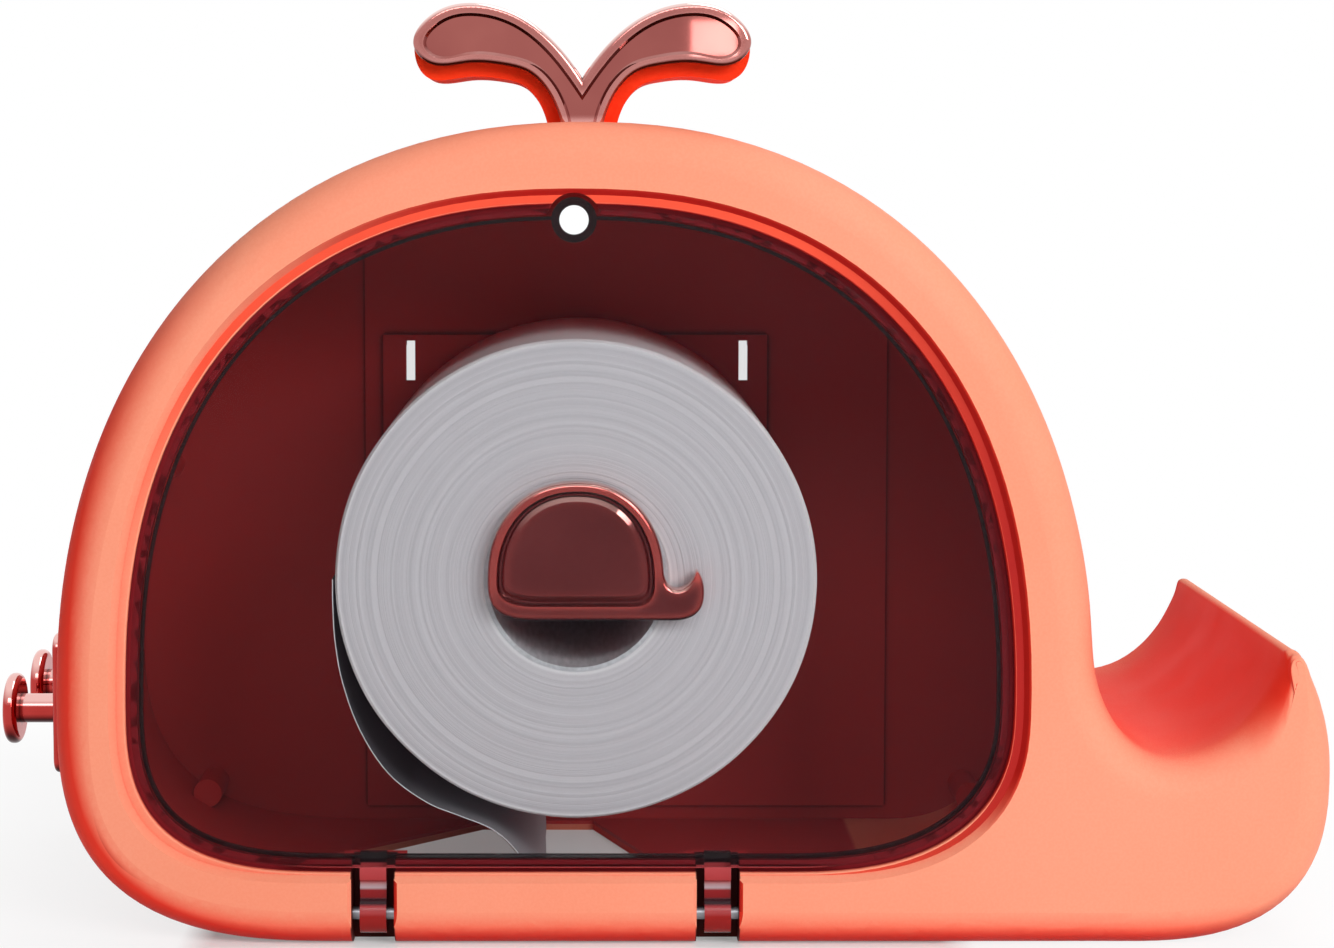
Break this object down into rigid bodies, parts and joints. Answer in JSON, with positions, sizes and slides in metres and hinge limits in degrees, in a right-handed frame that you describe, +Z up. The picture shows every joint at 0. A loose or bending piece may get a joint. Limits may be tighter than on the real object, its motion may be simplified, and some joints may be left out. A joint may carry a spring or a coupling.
{
  "type": "toilet roll holder",
  "caption": "Whale-shaped toilet roll holder with a clear flip-down front door, a fixed roll spindle, a tail tray, a leaf-shaped spout and side hook pegs.",
  "frame": {"origin": "middle of the holder's outer box, at the flat base", "axes": "+X towards the tail, +Y towards the wall, +Z up; the door faces -Y"},
  "size_m": [0.319, 0.12, 0.2211],
  "materials": {
    "coral_plastic": "fine matte moulding",
    "coral_inner_plastic": "satin moulding",
    "spout_plastic": "matte moulding",
    "smoked_clear": "smoked clear, polished",
    "rose_copper": "rose copper plating on plastic",
    "steel": "plain",
    "tissue": "soft tissue",
    "core_board": "plain board"
  },
  "bodies": {
    "holder": {"main_shell": "coral_plastic", "rear_panel": "coral_inner_plastic", "rear_panel_screws": "steel", "hinge_pin_left": "steel", "hinge_pin_right": "steel", "spindle": "coral_inner_plastic", "spindle_screws": "steel", "spindle_cap": "rose_copper", "paper_web": "tissue", "spout_body": "spout_plastic", "spout_trim": "rose_copper", "spout_screws": "steel", "hook_plate": "rose_copper", "hook_peg_front": "rose_copper", "hook_peg_rear": "rose_copper", "hook_nuts": "steel"},
    "door": {"door_panel": "smoked_clear"},
    "roll": {"paper_roll": "tissue", "roll_core": "core_board"}
  },
  "joints": [
    {"name": "door_hinge", "type": "hinge", "parent": "holder", "child": "door", "pos_m": [-0.02545, -0.054, 0.0073], "axis": [1, 0, 0], "range_deg": [0, 90]},
    {"name": "roll_spin", "type": "hinge", "parent": "holder", "child": "roll", "pos_m": [-0.0183, 0.00275, 0.0852], "axis": [0, 1, 0], "continuous": true}
  ]
}
